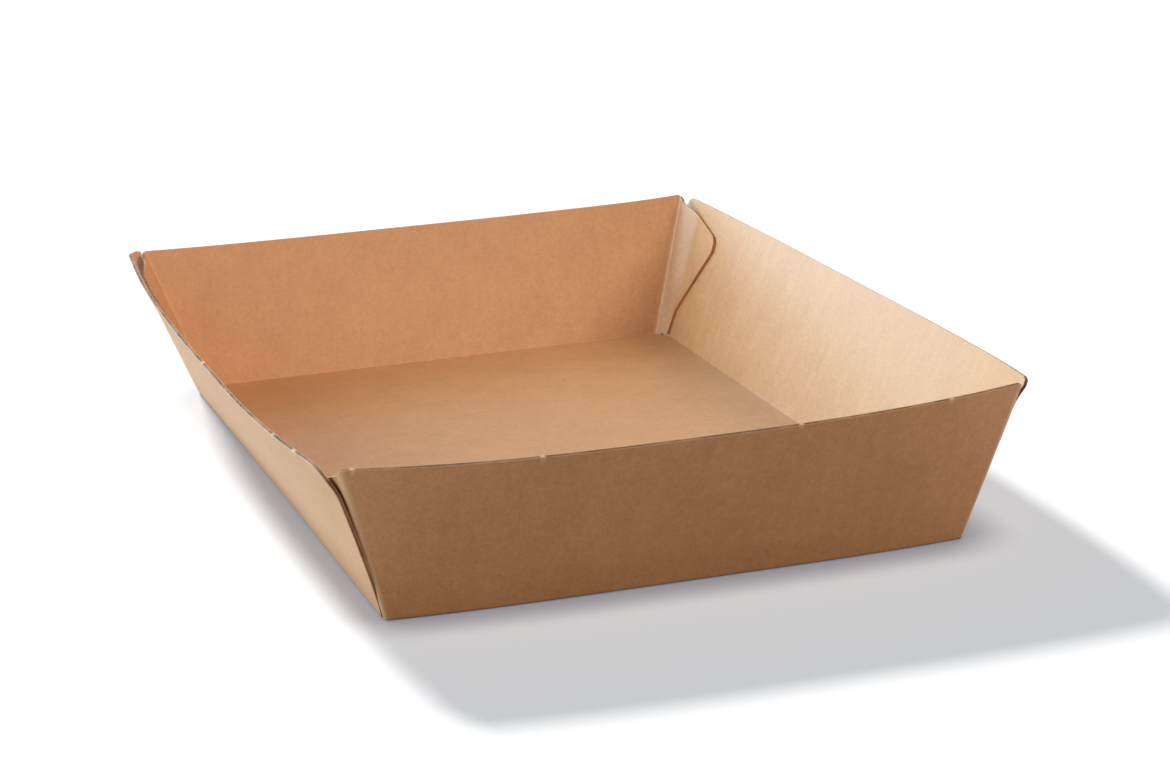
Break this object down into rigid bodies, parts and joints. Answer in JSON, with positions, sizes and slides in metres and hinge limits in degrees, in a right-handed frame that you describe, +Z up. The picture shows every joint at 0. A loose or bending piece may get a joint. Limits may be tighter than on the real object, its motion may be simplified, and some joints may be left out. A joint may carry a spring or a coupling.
{
  "type": "cardboard tray box",
  "caption": "Open rectangular tray folded from one sheet of brown kraft micro-flute board, with outward-leaning bowed walls and glued corner tabs.",
  "frame": {"origin": "centre of the base's underside, on the surface that the tray stands on", "axes": "+X along the short end walls, +Y along the long side walls to the back, +Z up out of the open top"},
  "size_m": [0.1914, 0.2596, 0.0426],
  "materials": {
    "kraft_board": "matt unprinted brown kraft"
  },
  "bodies": {
    "root": {"folded_tray": "kraft_board"}
  },
  "joints": []
}
